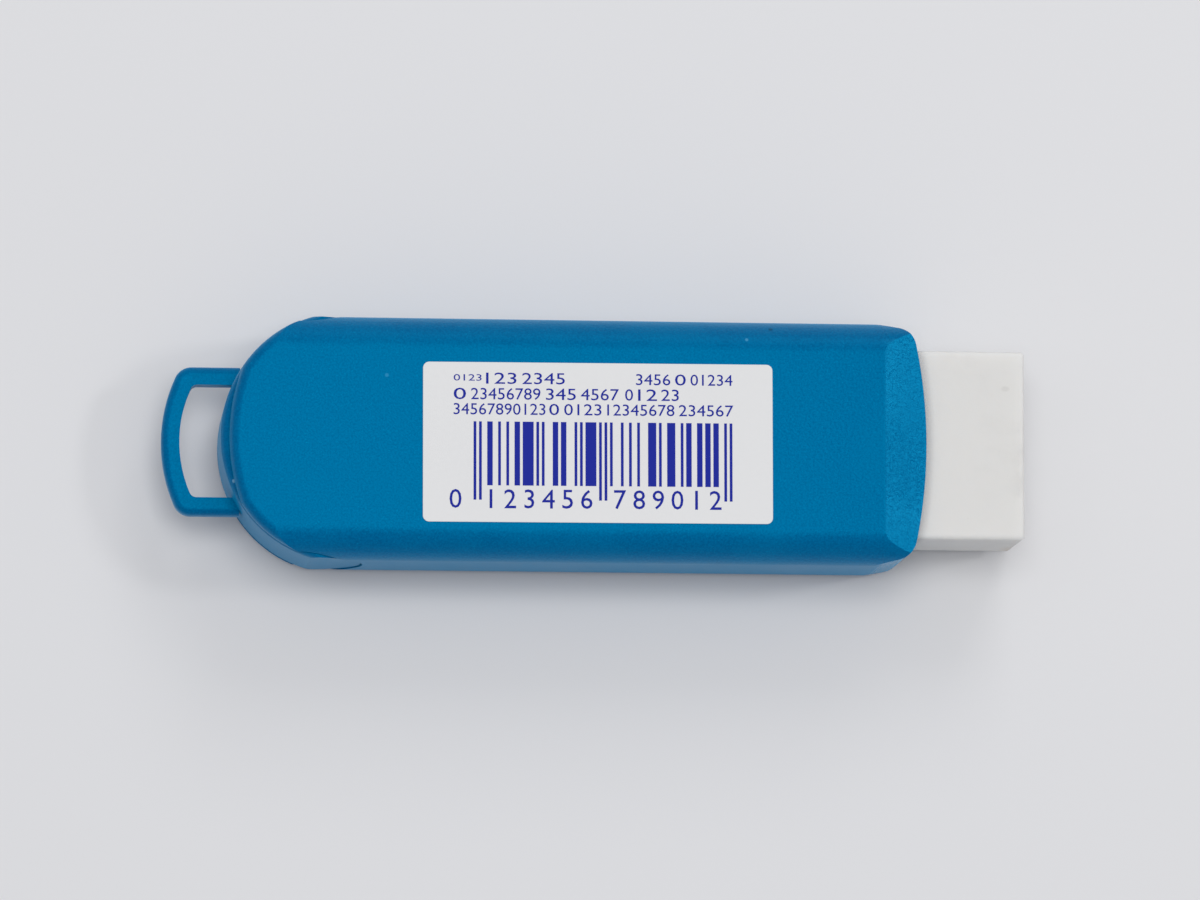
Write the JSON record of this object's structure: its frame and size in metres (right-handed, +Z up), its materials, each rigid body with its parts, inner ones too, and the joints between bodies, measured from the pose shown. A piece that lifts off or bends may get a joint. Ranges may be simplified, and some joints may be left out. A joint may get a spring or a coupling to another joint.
{
  "type": "pocket eraser in a sliding sleeve",
  "caption": "Pocket eraser: a white rubber block in a flat blue plastic sleeve, pushed out and drawn in by a rear slider that ends in a key-ring loop.",
  "frame": {"origin": "middle of the whole part's length and width, on the face it rests on", "axes": "+X along the sleeve towards the rubber's working end, +Z up out of the labelled face, +Y across to the left of +X"},
  "size_m": [0.0836, 0.0236, 0.0151],
  "materials": {
    "blue_plastic": "fine spark-eroded grain",
    "blue_slider": "fine spark-eroded grain",
    "white_rubber": "smooth, slightly dull",
    "label_film": "satin printed film"
  },
  "bodies": {
    "sleeve": {"sleeve": "blue_plastic", "label": "label_film"},
    "slider": {"slider": "blue_slider"},
    "eraser": {"eraser": "white_rubber"}
  },
  "joints": [
    {"name": "slider_slide", "type": "slide", "parent": "sleeve", "child": "slider", "axis": [1, 0, 0], "range_m": [-0.0102, 0]},
    {"name": "eraser_feed", "type": "slide", "parent": "slider", "child": "eraser", "axis": [1, 0, 0], "range_m": [0, 0.02]}
  ]
}
